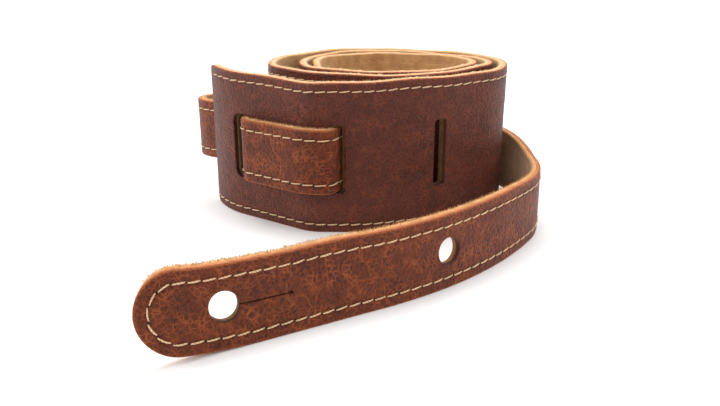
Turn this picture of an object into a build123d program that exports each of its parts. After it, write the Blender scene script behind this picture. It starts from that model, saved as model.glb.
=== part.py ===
from build123d import *
import os
from math import atan2, cos, degrees, pi, radians, sin

# A leather guitar strap, rolled up and standing on its long edge.
# The wide body strap is a coil whose outer end is a flap with a row of slots.
# The narrow tail strap is woven through the first two slots, goes once round the back
# of the coil and ends in a free run in front, with two button holes.
# Both straps are two layers of leather, stitched together along their edges.
# +Z is up and Z = 0 is the surface that the strap stands on. X is to the right.

# ---- driving dimensions, mm ----
LAYER = 1.9  # the grain leather face, and the suede backing
BAND = 2 * LAYER  # the two layers together
BODY_WIDTH = 63.5
TAIL_WIDTH = 27.0
BODY_STITCH_INSET = 3.5  # from the strap's edge to the stitch row
TAIL_STITCH_INSET = 4.0
THREAD_WIDTH = 0.8
THREAD_PROUD = 0.35  # height of the thread above the leather

SLOT_WIDTH = 5.3
SLOT_HEIGHT = 28.5
SLOT_PITCH = 44.5
SLOT_COUNT = 6
FIRST_SLOT = 27.5  # from the flap's end to the first slot's centre
THREADING_ROOM = 0.35  # that the slot's edges keep from the tail in them

HOLE_RADIUS = 5.0
TIP_TO_BUTTON_HOLE = 27.4
TIP_TO_SECOND_HOLE = 111.6
SLIT_LENGTH = 17.3
SLIT_WIDTH = 0.6
SLIT_END_RADIUS = 0.9

# ---- the body strap's plan line, along its outer face, from the flap's end inwards ----
FLAP_END = (-65.76, 43.75)
FLAP_HEADING = -72
# Each run is (radius, turn in degrees), or (0, length) where it is straight.
FLAP_RUNS = [(37, 38), (0, 31), (18, 34), (0, 11), (52, 15), (160, 17), (28.3, 58)]
# Where the coil's outer face is furthest back, left, near and right, turn after turn.
COIL_TURNS = [
    (9.28, 87.35), (-40.72, 50.75), (6.28, 17.95), (59.28, 50.75),
    (9.28, 81.65), (-27.22, 51.75), (8.28, 24.15), (52.78, 50.75),
    (9.28, 76.15), (-21.32, 51.75), (9.28, 30.15),
]
INNER_END_RUN = (29, 45)
TONGUE_LENGTH = 62
TONGUE_WIDTH = 38.0

# ---- the tail ----
GAP = 0.9  # between the tail and the body strap's leather
HIDDEN_END = 98.0  # how far from the flap's end the tail's inner end lies
WEAVE_RADIUS = 4.0  # of the tail's middle line as it turns into a slot
WEAVE_ANGLE = 62
WOVEN_BASE = (BODY_WIDTH - TAIL_WIDTH) / 2  # height of the woven stretch's lower edge
DESCENT_START = 110.0
DESCENT_END = 335.0
# From the flap's end round the left, back and right to the front, as in FLAP_RUNS.
LOOP_RUNS = [
    (14, 31.8), (0, 4), (16.9, -51), (15.5, -50), (44.7, -25), (149, -15), (0, 24.8),
    (60.4, -45), (67.4, -45), (0, 11.2), (43.6, -33.6), (163, -29.2), (0, 60.8), (50, -26.4),
]
# Distances from the tip to the flex lines that split the tail into rigid stretches.
FLEX_FROM_TIP = [350, 308, 266, 224, 183, 142, 99, 57]
KNUCKLE_ROOM = 0.3

# ---- the body strap's three nodes, split at the coil's left side ----
SPLIT_TURNS = [2, 6]


def runs_to_legs(start, heading, runs):
    """One leg (along, length, x, y, angle, curvature) for each run."""
    x, y = start
    angle = radians(heading)
    along = 0.0
    legs = []
    for radius, amount in runs:
        turn = radians(amount) if radius else 0.0
        length = abs(turn) * radius if radius else amount
        curvature = turn / length
        legs.append((along, length, x, y, angle, curvature))
        x, y = leg_point(legs[-1], length, 0)
        angle += turn
        along += length
    return legs


def leg_point(leg, distance, offset):
    """The point at a distance along the leg, set off to its left."""
    along, length, x, y, angle, curvature = leg
    turned = angle + curvature * distance
    if curvature:
        x += (sin(turned) - sin(angle)) / curvature
        y -= (cos(turned) - cos(angle)) / curvature
    else:
        x += cos(angle) * distance
        y += sin(angle) * distance
    return x - sin(turned) * offset, y + cos(turned) * offset


def at(legs, along, offset=0.0):
    """The point at a distance along the whole line, and the heading there in radians."""
    leg = [one for one in legs if one[0] <= along + 1e-9][-1]
    distance = along - leg[0]
    return leg_point(leg, distance, offset), leg[4] + leg[5] * distance


def total(legs):
    return legs[-1][0] + legs[-1][1]


def side(legs, start, end, offset):
    """The edges of the line between two distances, set off to its left."""
    edges = []
    for leg in legs:
        low = max(start, leg[0]) - leg[0]
        high = min(end, leg[0] + leg[1]) - leg[0]
        if high - low < 1e-6:
            continue
        first = leg_point(leg, low, offset)
        middle = leg_point(leg, (low + high) / 2, offset)
        last = leg_point(leg, high, offset)
        edges.append(ThreePointArc(first, middle, last) if leg[5] else Line(first, last))
    return edges


def plan(legs, start, end, near, far):
    """The flat outline of a band between two distances and two offsets."""
    first_side = side(legs, start, end, near)
    second_side = side(legs, start, end, far)
    ends = [Line(at(legs, s, near)[0], at(legs, s, far)[0]) for s in (start, end)]
    return make_face(first_side + second_side + ends)


def upright(outline, low, high):
    return Pos(0, 0, low) * extrude(outline, amount=high - low)


def quarter_runs(start, end, heading):
    """Two arcs of 45 degrees that turn left through 90 degrees from start to end."""
    angle = radians(heading)
    step = (end[0] - start[0], end[1] - start[1])
    ahead = step[0] * cos(angle) + step[1] * sin(angle)
    left = -step[0] * sin(angle) + step[1] * cos(angle)
    s = sin(pi / 4)
    scale = s * s - (1 - s) ** 2
    return [((ahead * s - left * (1 - s)) / scale, 45), ((left * s - ahead * (1 - s)) / scale, 45)]


def body_line():
    """The body strap's plan line, and the distances where its nodes are split."""
    runs = list(FLAP_RUNS)
    legs = runs_to_legs(FLAP_END, FLAP_HEADING, runs)
    here = leg_point(legs[-1], legs[-1][1], 0)
    heading = 90
    splits = []
    for number, point in enumerate(COIL_TURNS, 1):
        runs += quarter_runs(here, point, heading)
        here = point
        heading += 90
        if number in SPLIT_TURNS:
            splits.append(total(runs_to_legs(FLAP_END, FLAP_HEADING, runs)))
    runs.append(INNER_END_RUN)
    return runs_to_legs(FLAP_END, FLAP_HEADING, runs), splits


def reversed_runs(legs, start, end, offset):
    """Runs that follow the line backwards from start to end, set off to its left."""
    runs = []
    for along, length, _, _, _, curvature in reversed(legs):
        piece = min(start, along + length) - max(end, along)
        if piece < 1e-6:
            continue
        if curvature:
            runs.append((1 / curvature - offset, -degrees(curvature * piece)))
        else:
            runs.append((0, piece))
    return runs


def crossing(outwards):
    """The tail's S-bend through a slot, and how far it takes the tail along the wall."""
    angle = radians(WEAVE_ANGLE)
    shift = 2 * GAP + 2 * BAND
    straight = (shift - 2 * WEAVE_RADIUS * (1 - cos(angle))) / sin(angle)
    advance = 2 * WEAVE_RADIUS * sin(angle) + straight * cos(angle)
    turn = WEAVE_ANGLE if outwards else -WEAVE_ANGLE
    return [(WEAVE_RADIUS, turn), (0, straight), (WEAVE_RADIUS, -turn)], advance


def tail_line(body):
    """The tail's plan line along its middle, from the hidden inner end to the tip."""
    inside = BAND + GAP + LAYER
    outside = -(GAP + LAYER)
    out_bend, advance = crossing(True)
    in_bend, _ = crossing(False)
    first = FIRST_SLOT
    second = FIRST_SLOT + SLOT_PITCH
    runs = reversed_runs(body, HIDDEN_END, second + advance / 2, inside)
    runs += out_bend
    runs += reversed_runs(body, second - advance / 2, first + advance / 2, outside)
    runs += in_bend
    runs += reversed_runs(body, first - advance / 2, 0, inside)
    runs += LOOP_RUNS
    start, heading = at(body, HIDDEN_END, inside)
    return runs_to_legs(start, degrees(heading) + 180, runs)


def tail_base(along):
    """Height of the tail's lower edge: woven at mid-height, down on the floor in front."""
    fallen = (along - DESCENT_START) / (DESCENT_END - DESCENT_START)
    return WOVEN_BASE * (1 - min(1, max(0, fallen)))


BODY, BODY_SPLITS = body_line()
TAIL = tail_line(BODY)
TAIL_LENGTH = total(TAIL)
BODY_LENGTH = total(BODY)
FLEX_LINES = [TAIL_LENGTH - distance for distance in FLEX_FROM_TIP]


def slot_cutters():
    """Die-cut slots, and the room that the threaded tail pushes open in the first two."""
    cutters = []
    middle = BODY_WIDTH / 2
    for number in range(SLOT_COUNT):
        (x, y), heading = at(BODY, FIRST_SLOT + number * SLOT_PITCH, LAYER)
        slot = Box(SLOT_WIDTH, 3 * BAND, SLOT_HEIGHT)
        cutters.append(Pos(x, y, middle) * Rot(0, 0, degrees(heading)) * slot)
    woven_end = HIDDEN_END + 10
    room = LAYER + THREADING_ROOM
    low = middle - SLOT_HEIGHT / 2
    cutters.append(upright(plan(TAIL, 0, woven_end, -room, room), low, low + SLOT_HEIGHT))
    return cutters


def tongue_outline():
    """A solid that keeps only a tapered, rounded tongue of the body strap's inner end."""
    end, heading = at(BODY, BODY_LENGTH, LAYER)
    start, _ = at(BODY, BODY_LENGTH - TONGUE_LENGTH, LAYER)
    half = TONGUE_WIDTH / 2
    chord = atan2(end[1] - start[1], end[0] - start[0])
    length = ((end[0] - start[0]) ** 2 + (end[1] - start[1]) ** 2) ** 0.5
    shoulder = length * 0.45
    upper = [(-30, BODY_WIDTH / 2 + 1), (0, BODY_WIDTH / 2 + 1), (shoulder, half)]
    outline = Polyline(*upper, (length - half, half))
    lower = Polyline((-30, -BODY_WIDTH / 2 - 1), (0, -BODY_WIDTH / 2 - 1), (shoulder, -half),
                     (length - half, -half))
    nose = ThreePointArc((length - half, half), (length, 0), (length - half, -half))
    back = Line((-30, BODY_WIDTH / 2 + 1), (-30, -BODY_WIDTH / 2 - 1))
    face = make_face([outline, nose, lower, back])
    facing = Plane(
        origin=(start[0], start[1], BODY_WIDTH / 2),
        x_dir=(cos(chord), sin(chord), 0),
        z_dir=(sin(chord), -cos(chord), 0),
    )
    solid = extrude(facing * face, amount=14, both=True)
    hole_at = facing * Pos(length - half, 0, 0)
    slit = Box(SLIT_LENGTH + HOLE_RADIUS, SLIT_WIDTH, 28)
    slit_end = Cylinder(SLIT_END_RADIUS, 28)
    solid -= hole_at * Cylinder(HOLE_RADIUS, 28)
    solid -= hole_at * Pos(-(SLIT_LENGTH + HOLE_RADIUS) / 2, 0, 0) * slit
    return solid - hole_at * Pos(-(SLIT_LENGTH + HOLE_RADIUS), 0, 0) * slit_end


def body_layer(start, end, near, far):
    """A layer of the body strap, cut to the tongue's shape at its inner end."""
    tongue_start = BODY_LENGTH - TONGUE_LENGTH
    if end < BODY_LENGTH:
        return upright(plan(BODY, start, end, near, far), 0, BODY_WIDTH)
    layer = upright(plan(BODY, start, tongue_start, near, far), 0, BODY_WIDTH)
    tongue = upright(plan(BODY, tongue_start, end, near, far), 0, BODY_WIDTH)
    return layer + (tongue & tongue_outline())


def body_threads(start, end):
    """Four stitch rows: along both edges, on the face and on the backing."""
    rows = []
    for height in (BODY_STITCH_INSET, BODY_WIDTH - BODY_STITCH_INSET):
        low = height - THREAD_WIDTH / 2
        for near, far in ((-THREAD_PROUD, 0), (BAND, BAND + THREAD_PROUD)):
            rows.append(upright(plan(BODY, start, end, near, far), low, low + THREAD_WIDTH))
    return rows


def sloped(outline, start, end, rise, height):
    """A band's outline raised between slanted planes that follow the tail's lower edge."""
    bases = [tail_base(start) + rise, tail_base(end) + rise]
    low, high = min(bases), max(bases)
    solid = upright(outline, low, high + height)
    if high - low < 1e-6:
        return solid
    (x0, y0), _ = at(TAIL, start)
    (x1, y1), _ = at(TAIL, end)
    ahead = Vector(x1 - x0, y1 - y0, bases[1] - bases[0])
    normal = ahead.cross(Vector(0, 0, 1)).cross(ahead) * -1
    if normal.Z < 0:
        normal = normal * -1
    lower = Plane(origin=(x0, y0, bases[0]), z_dir=normal)
    upper = Plane(origin=(x0, y0, bases[0] + height), z_dir=normal)
    solid = split(solid, bisect_by=lower, keep=Keep.TOP)
    return split(solid, bisect_by=upper, keep=Keep.BOTTOM)


def end_frame(along, inward):
    """A plane on the tail's middle, half a width from its end, with x towards the end."""
    (x, y), heading = at(TAIL, along)
    if inward:
        heading += pi
    return Plane(
        origin=(x, y, tail_base(along) + TAIL_WIDTH / 2),
        x_dir=(cos(heading), sin(heading), 0),
        z_dir=(-sin(heading), cos(heading), 0),
    )


def round_end_waste(along, inward):
    """What is cut off a square end of the tail to leave it half round."""
    half = TAIL_WIDTH / 2
    corner = Box(2 * half, 2 * half + 2, 12, align=(Align.MIN, Align.CENTER, Align.CENTER))
    return end_frame(along, inward) * (corner - Cylinder(half, 12))


def end_threads(along, inward):
    """The stitch row round the tail's half-round end, on both sides."""
    radius = TAIL_WIDTH / 2 - TAIL_STITCH_INSET
    ring = Cylinder(radius + THREAD_WIDTH / 2, 12) - Cylinder(radius - THREAD_WIDTH / 2, 12)
    ahead = Box(30, 60, 12, align=(Align.MIN, Align.CENTER, Align.CENTER))
    half_ring = end_frame(along, inward) * (ring & ahead)
    reach = TAIL_WIDTH / 2
    start, end = (max(0, along - reach), along) if inward else (along, TAIL_LENGTH)
    base = tail_base(along)
    rows = []
    for near in (LAYER, -LAYER - THREAD_PROUD):
        skin = upright(plan(TAIL, start, end, near, near + THREAD_PROUD), base, base + TAIL_WIDTH)
        rows += (skin & half_ring).solids()
    return rows


def hole_cutter(from_tip, slit):
    """A punched button hole, with a slit away from the tip that ends in a small hole."""
    (x, y), heading = at(TAIL, TAIL_LENGTH - from_tip)
    seat = Plane(
        origin=(x, y, TAIL_WIDTH / 2),
        x_dir=(-cos(heading), -sin(heading), 0),
        z_dir=(-sin(heading), cos(heading), 0),
    )
    cutter = seat * Cylinder(HOLE_RADIUS, 12)
    if slit:
        reach = HOLE_RADIUS + SLIT_LENGTH
        cutter += seat * Pos(reach / 2, 0, 0) * Box(reach, SLIT_WIDTH, 12)
        cutter += seat * Pos(reach, 0, 0) * Cylinder(SLIT_END_RADIUS, 12)
    return cutter


def knuckle(along, radius):
    """An upright cylinder about the flex line."""
    (x, y), _ = at(TAIL, along)
    low = tail_base(along) - 12
    return Pos(x, y, low) * Cylinder(
        radius, TAIL_WIDTH + 24, align=(Align.CENTER, Align.CENTER, Align.MIN)
    )


def tail_layer(start, end, near, far, opens, closes):
    """A layer of one rigid stretch: round where it turns in its neighbour, hollow where
    its neighbour turns in it."""
    layer = sloped(plan(TAIL, start, end, near, far), start, end, 0, TAIL_WIDTH)
    if opens:
        (x, y), heading = at(TAIL, start)
        ball = sloped(Pos(x, y) * Circle(LAYER), start, end, 0, TAIL_WIDTH)
        half = plan(TAIL, start - BAND, start + 0.01, near, far)
        layer += ball & upright(half, -5, BODY_WIDTH)
    if closes:
        layer -= knuckle(end, LAYER + KNUCKLE_ROOM)
    return layer


def tail_threads(start, end, opens, closes):
    """The stitch rows of one rigid stretch, which stop short of its flex lines."""
    stop = BAND
    half = TAIL_WIDTH / 2
    row_start = start + (stop if opens else half)
    row_end = end - (stop if closes else half)
    rows = []
    for inset in (TAIL_STITCH_INSET, TAIL_WIDTH - TAIL_STITCH_INSET):
        for near in (LAYER, -LAYER - THREAD_PROUD):
            outline = plan(TAIL, row_start, row_end, near, near + THREAD_PROUD)
            rise = inset - THREAD_WIDTH / 2
            rows += sloped(outline, row_start, row_end, rise, THREAD_WIDTH).solids()
    if not opens:
        rows += end_threads(half, True)
    if not closes:
        rows += end_threads(TAIL_LENGTH - half, False)
    return rows


def woven_layer(near, far, end):
    """The tail's fixed stretch: level where it is woven, then falling towards the back."""
    level = sloped(plan(TAIL, 0, DESCENT_START, near, far), 0, DESCENT_START, 0, TAIL_WIDTH)
    falling = plan(TAIL, DESCENT_START, end, near, far)
    layer = level + sloped(falling, DESCENT_START, end, 0, TAIL_WIDTH)
    layer -= round_end_waste(TAIL_WIDTH / 2, True)
    return layer - knuckle(end, LAYER + KNUCKLE_ROOM)


def woven_threads(end):
    half = TAIL_WIDTH / 2
    rows = end_threads(half, True)
    stretches = [(half, DESCENT_START), (DESCENT_START, end - BAND)]
    for inset in (TAIL_STITCH_INSET, TAIL_WIDTH - TAIL_STITCH_INSET):
        rise = inset - THREAD_WIDTH / 2
        for near in (LAYER, -LAYER - THREAD_PROUD):
            pieces = [
                sloped(plan(TAIL, a, b, near, near + THREAD_PROUD), a, b, rise, THREAD_WIDTH)
                for a, b in stretches
            ]
            rows += (pieces[0] + pieces[1]).solids()
    return rows


def as_group(solids):
    return Compound(children=[one for solid in solids for one in solid.solids()])


def build_nodes():
    nodes = {}
    cutters = slot_cutters()
    body_ends = [0.0, *BODY_SPLITS, BODY_LENGTH]
    for name, start, end in zip(("outer", "middle", "inner"), body_ends, body_ends[1:]):
        face = body_layer(start, end, 0, LAYER)
        backing = body_layer(start, end, LAYER, BAND)
        if name == "outer":
            for cutter in cutters:
                face -= cutter
                backing -= cutter
        thread_end = min(end, BODY_LENGTH - TONGUE_LENGTH)
        nodes["body_face_" + name] = face
        nodes["body_backing_" + name] = backing
        nodes["body_thread_" + name] = as_group(body_threads(start, thread_end))
    first_flex = FLEX_LINES[0]
    nodes["tail_face_woven"] = woven_layer(0, LAYER, first_flex)
    nodes["tail_backing_woven"] = woven_layer(-LAYER, 0, first_flex)
    nodes["tail_thread_woven"] = as_group(woven_threads(first_flex))
    tail_ends = [*FLEX_LINES, TAIL_LENGTH]
    waste = round_end_waste(TAIL_LENGTH - TAIL_WIDTH / 2, False)
    holes = {8: hole_cutter(TIP_TO_BUTTON_HOLE, True), 6: hole_cutter(TIP_TO_SECOND_HOLE, False)}
    for number, (start, end) in enumerate(zip(tail_ends, tail_ends[1:]), 1):
        last = number == len(FLEX_LINES)
        for kind, near, far in (("face", 0, LAYER), ("backing", -LAYER, 0)):
            layer = tail_layer(start, end, near, far, True, not last)
            if last:
                layer -= waste
            if number in holes:
                layer -= holes[number]
            nodes["tail_%s_%d" % (kind, number)] = layer
        nodes["tail_thread_%d" % number] = as_group(tail_threads(start, end, True, not last))
    return nodes


NODES = build_nodes()
os.makedirs("parts", exist_ok=True)
for name, shape in NODES.items():
    export_step(shape, "parts/%s.step" % name)
    print(name, len(shape.solids()), round(sum(s.volume for s in shape.solids()), 1))
print("body strap length", round(BODY_LENGTH, 1), "tail length", round(TAIL_LENGTH, 1))
boxes = [shape.bounding_box() for shape in NODES.values()]
for axis in "XYZ":
    low = min(getattr(box.min, axis) for box in boxes)
    high = max(getattr(box.max, axis) for box in boxes)
    print(axis, round(low, 3), round(high, 3), "middle", round((low + high) / 2, 3))
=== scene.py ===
# %% [markdown]
# # A rolled leather guitar strap
# The strap is two bands of leather. The wide one is rolled up and stands on its edge.
# The narrow tail is woven through two slots, goes round the back and ends in front.
# Each band is a grain leather face glued to a suede backing, with stitching along the edges.
#
# The CAD model is loaded first. It holds the sizes and the flex lines, and nothing in it moves.

# %% Load the frame
import math
import random

import bpy
import numpy as np
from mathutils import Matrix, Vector, geometry


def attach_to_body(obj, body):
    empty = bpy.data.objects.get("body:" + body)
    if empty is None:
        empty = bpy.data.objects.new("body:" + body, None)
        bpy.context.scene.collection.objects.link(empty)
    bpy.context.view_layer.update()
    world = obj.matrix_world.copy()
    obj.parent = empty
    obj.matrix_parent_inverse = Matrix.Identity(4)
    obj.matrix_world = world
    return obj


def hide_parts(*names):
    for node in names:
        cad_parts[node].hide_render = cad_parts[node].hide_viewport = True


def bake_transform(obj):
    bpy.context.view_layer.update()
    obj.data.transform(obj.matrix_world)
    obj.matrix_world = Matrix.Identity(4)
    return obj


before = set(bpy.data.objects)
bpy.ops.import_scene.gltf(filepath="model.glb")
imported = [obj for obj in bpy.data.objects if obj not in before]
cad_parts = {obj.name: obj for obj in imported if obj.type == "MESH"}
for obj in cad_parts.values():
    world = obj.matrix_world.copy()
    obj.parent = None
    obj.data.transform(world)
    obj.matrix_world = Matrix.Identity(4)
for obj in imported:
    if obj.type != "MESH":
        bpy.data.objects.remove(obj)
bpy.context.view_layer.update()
random.seed(7)

# %% [markdown]
# ## Sizes
# Everything below is worked out in millimetres, as a strap maker would, and turned into
# metres only when a point is placed. The two layers of leather are the same thickness.
# The sizes and the plan lines are the CAD model's own, repeated here.

# %% Sizes in millimetres
MM = 0.001
LAYER = 1.9
BAND = 2 * LAYER
BODY_WIDTH = 63.5
TAIL_WIDTH = 27.0
STITCH_PITCH = 4.88
BODY_STITCH_INSET = 3.5
TAIL_STITCH_INSET = 4.1
SLOT_WIDTH = 5.3
SLOT_HEIGHT = 28.5
SLOT_PITCH = 44.5
SLOT_COUNT = 6
FIRST_SLOT = 27.5
HOLE_RADIUS = 5.0
TIP_TO_BUTTON_HOLE = 27.4
TIP_TO_SECOND_HOLE = 111.6
SLIT_LENGTH = 17.3
SLIT_WIDTH = 0.3
SLIT_END_RADIUS = 0.5

# %% [markdown]
# ## The plan lines
# Seen from above, each band is a line made of arcs and straight runs that flow into each
# other. A run is (radius, turn in degrees), or (0, length) where it is straight. Leather
# bends in such smooth arcs, so the coil needs no simulation: its shape is known.

# %% Arcs and straight runs
def plan_line(start, heading, runs):
    """A table with one row (along, length, x, y, angle, curvature) for each run."""
    x, y = start
    angle = math.radians(heading)
    along = 0.0
    table = []
    for radius, amount in runs:
        turn = math.radians(amount) if radius else 0.0
        length = abs(turn) * radius if radius else amount
        curvature = turn / length
        table.append((along, length, x, y, angle, curvature))
        if curvature:
            x += (math.sin(angle + turn) - math.sin(angle)) / curvature
            y -= (math.cos(angle + turn) - math.cos(angle)) / curvature
        else:
            x += math.cos(angle) * length
            y += math.sin(angle) * length
        angle += turn
        along += length
    return np.array(table)


def on_line(line, along, offset):
    """Points at distances along the line, set off to its left, and the headings there."""
    along = np.asarray(along, float)
    row = line[np.clip(np.searchsorted(line[:, 0], along, side="right") - 1, 0, None)]
    distance = along - row[:, 0]
    angle, curvature = row[:, 4], row[:, 5]
    turned = angle + curvature * distance
    bent = np.abs(curvature) > 1e-9
    safe = np.where(bent, curvature, 1.0)
    x = np.where(bent, (np.sin(turned) - np.sin(angle)) / safe, np.cos(angle) * distance)
    y = np.where(bent, (np.cos(angle) - np.cos(turned)) / safe, np.sin(angle) * distance)
    x = row[:, 2] + x - np.sin(turned) * offset
    y = row[:, 3] + y + np.cos(turned) * offset
    return x, y, turned


def line_length(line):
    return line[-1, 0] + line[-1, 1]


# %% [markdown]
# ## The rolled body strap
# The wide band starts at its flap, in front on the left, and spirals inwards for about
# three turns. The spiral is given by where it is furthest back, left, near and right, and
# two arcs join each such point to the next.

# %% The body strap's line
FLAP_END = (-65.76, 43.75)
FLAP_HEADING = -72
FLAP_RUNS = [(37, 38), (0, 31), (18, 34), (0, 11), (52, 15), (160, 17), (28.3, 58)]
COIL_TURNS = [
    (9.28, 87.35), (-40.72, 50.75), (6.28, 17.95), (59.28, 50.75),
    (9.28, 81.65), (-27.22, 51.75), (8.28, 24.15), (52.78, 50.75),
    (9.28, 76.15), (-21.32, 51.75), (9.28, 30.15),
]
INNER_END_RUN = (29, 45)


def quarter_turn(start, end, heading):
    """Two arcs of 45 degrees that turn left through 90 degrees from start to end."""
    angle = math.radians(heading)
    step = (end[0] - start[0], end[1] - start[1])
    ahead = step[0] * math.cos(angle) + step[1] * math.sin(angle)
    left = -step[0] * math.sin(angle) + step[1] * math.cos(angle)
    s = math.sin(math.pi / 4)
    scale = s * s - (1 - s) ** 2
    return [((ahead * s - left * (1 - s)) / scale, 45), ((left * s - ahead * (1 - s)) / scale, 45)]


body_runs = list(FLAP_RUNS)
flap_line = plan_line(FLAP_END, FLAP_HEADING, FLAP_RUNS)
flap_x, flap_y, _ = on_line(flap_line, [line_length(flap_line)], 0)
here = (flap_x[0], flap_y[0])
coil_heading = 90
for turn_point in COIL_TURNS:
    body_runs += quarter_turn(here, turn_point, coil_heading)
    here = turn_point
    coil_heading += 90
body_runs.append(INNER_END_RUN)
BODY_LINE = plan_line(FLAP_END, FLAP_HEADING, body_runs)
BODY_LENGTH = line_length(BODY_LINE)
print("body strap length, mm:", round(BODY_LENGTH, 1))

# %% [markdown]
# ## The woven tail
# The narrow band starts hidden behind the flap, comes out of the second slot, lies over the
# flap, goes in at the first slot, and then runs round the left, the back and the right. Each
# slot is passed in an S-bend. The woven stretch sits at half height, and the band then falls
# slowly to the floor.

# %% The tail's line
GAP = 0.9
HIDDEN_END = 98.0
WEAVE_RADIUS = 4.0
WEAVE_ANGLE = 62
LOOP_RUNS = [
    (14, 31.8), (0, 4), (16.9, -51), (15.5, -50), (44.7, -25), (149, -15), (0, 24.8),
    (60.4, -45), (67.4, -45), (0, 11.2), (43.6, -33.6), (163, -29.2), (0, 60.8), (50, -26.4),
]
WOVEN_BASE = (BODY_WIDTH - TAIL_WIDTH) / 2
DESCENT_START = 110.0
DESCENT_END = 335.0
FLEX_FROM_TIP = [350, 308, 266, 224, 183, 142, 99, 57]


def backwards(line, start, end, offset):
    """Runs that follow the line backwards from start to end, set off to its left."""
    runs = []
    for along, length, _, _, _, curvature in line[::-1]:
        piece = min(start, along + length) - max(end, along)
        if piece < 1e-6:
            continue
        if curvature:
            runs.append((1 / curvature - offset, -math.degrees(curvature * piece)))
        else:
            runs.append((0, piece))
    return runs


weave = math.radians(WEAVE_ANGLE)
weave_straight = (2 * GAP + 2 * BAND - 2 * WEAVE_RADIUS * (1 - math.cos(weave))) / math.sin(weave)
weave_advance = 2 * WEAVE_RADIUS * math.sin(weave) + weave_straight * math.cos(weave)
out_bend = [(WEAVE_RADIUS, WEAVE_ANGLE), (0, weave_straight), (WEAVE_RADIUS, -WEAVE_ANGLE)]
in_bend = [(WEAVE_RADIUS, -WEAVE_ANGLE), (0, weave_straight), (WEAVE_RADIUS, WEAVE_ANGLE)]
inside = BAND + GAP + LAYER
outside = -(GAP + LAYER)
second_slot = FIRST_SLOT + SLOT_PITCH
tail_runs = backwards(BODY_LINE, HIDDEN_END, second_slot + weave_advance / 2, inside)
tail_runs += out_bend
tail_runs += backwards(
    BODY_LINE, second_slot - weave_advance / 2, FIRST_SLOT + weave_advance / 2, outside
)
tail_runs += in_bend
tail_runs += backwards(BODY_LINE, FIRST_SLOT - weave_advance / 2, 0, inside)
tail_runs += LOOP_RUNS
start_x, start_y, start_heading = on_line(BODY_LINE, [HIDDEN_END], inside)
TAIL_LINE = plan_line(
    (start_x[0], start_y[0]), math.degrees(start_heading[0]) + 180, tail_runs
)
TAIL_LENGTH = line_length(TAIL_LINE)
FLEX_LINES = [TAIL_LENGTH - distance for distance in FLEX_FROM_TIP]
print("tail length, mm:", round(TAIL_LENGTH, 1))

# %% [markdown]
# ## From flat leather to the rolled strap
# A maker cuts leather flat and bends it later, and so does this script. A flat point is
# (along, across, height above a surface), and one function per band places it. The free run
# of the tail leans back a little, its tip curls forward and lifts off the floor, and both
# bands waver slightly, as real leather does.

# %% Placing flat points
LEAN_FROM_TIP = [0, 60, 120, 180, 225]
LEAN_AMOUNT = [6.2, 5.2, 3.0, 0.4, 0.0]
CURL_LENGTH = 24.0
CURL_AMOUNT = 5.2
LIFT_LENGTH = 40.0
LIFT_AMOUNT = 4.2


def place_body(along, across, offset):
    """Flat points of the wide band as points in metres. Offset 0 is its grain surface."""
    high = across / BODY_WIDTH
    waver = 0.30 * np.sin(along / 19.0) + 0.22 * np.sin(along / 7.3 + 1.0)
    waver = waver * (0.35 + 0.65 * high)
    line_offset = offset + waver
    x, y, _ = on_line(BODY_LINE, along, line_offset)
    crown = 0.25 * np.sin(along / 13.0) + 0.15 * np.sin(along / 5.1)
    z = across + crown * high
    return np.stack([x, y, np.maximum(z, 0.05)], axis=1) * MM


def place_tail(along, across, offset):
    """Flat points of the tail as points in metres. Offset +LAYER is its grain surface."""
    share = np.clip((along - DESCENT_START) / (DESCENT_END - DESCENT_START), 0, 1)
    base = WOVEN_BASE * (1 - share)
    lean = np.interp(TAIL_LENGTH - along, LEAN_FROM_TIP, LEAN_AMOUNT)
    high = across / TAIL_WIDTH
    free = np.clip((along - DESCENT_START) / 30.0, 0, 1)
    waver = 0.25 * np.sin(along / 11.0) + 0.12 * np.sin(along / 4.7)
    curled = np.clip(1 - (TAIL_LENGTH - along) / CURL_LENGTH, 0, 2)
    curl = CURL_AMOUNT * curled**2
    taken_up = CURL_AMOUNT**2 / CURL_LENGTH * curled**3 * 2 / 3
    x, y, _ = on_line(TAIL_LINE, along - taken_up, offset + curl - lean * high + waver * high * free)
    lift = LIFT_AMOUNT * np.clip(1 - (TAIL_LENGTH - along) / LIFT_LENGTH, 0, 2) ** 2
    z = base + lift + across * (1 - 0.5 * (lean / TAIL_WIDTH) ** 2) + 0.10 * np.sin(along / 6.0) * high
    return np.stack([x, y, np.maximum(z, 0.05)], axis=1) * MM


# %% [markdown]
# ## Cutting patterns
# A pattern is a list of closed outlines: the band's edge first, then its slots and holes.
# Cutting it means filling it with small triangles, with extra rows close to every cut so
# that the leather's edge can be rolled over, as it is on a strap that has been used.

# %% Outlines
def arc_points(centre, radius, start, end, count):
    angles = np.radians(np.linspace(start, end, count))
    return [(centre[0] + radius * math.cos(a), centre[1] + radius * math.sin(a)) for a in angles]


def slot_outline(middle, width, low, high, r=1.2):
    """A slot with rounded corners of radius r."""
    left, right = middle - width / 2, middle + width / 2
    return (
        arc_points((left + r, low + r), r, 180, 270, 4)
        + arc_points((right - r, low + r), r, 270, 360, 4)
        + arc_points((right - r, high - r), r, 0, 90, 4)
        + arc_points((left + r, high - r), r, 90, 180, 4)
    )


def button_hole(centre, slit_end):
    """A round hole, with a slit along the band towards slit_end if that is given."""
    if slit_end is None:
        return arc_points(centre, HOLE_RADIUS, 0, 350, 36)
    away = 1 if slit_end < centre[0] else -1
    gap = math.degrees(math.asin(SLIT_WIDTH / 2 / HOLE_RADIUS))
    facing = 180 if away > 0 else 0
    ring = arc_points(centre, HOLE_RADIUS, facing + gap, facing + 360 - gap, 40)
    end_dot = arc_points((slit_end, centre[1]), SLIT_END_RADIUS, facing - 160, facing + 160, 13)
    return ring + end_dot


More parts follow.
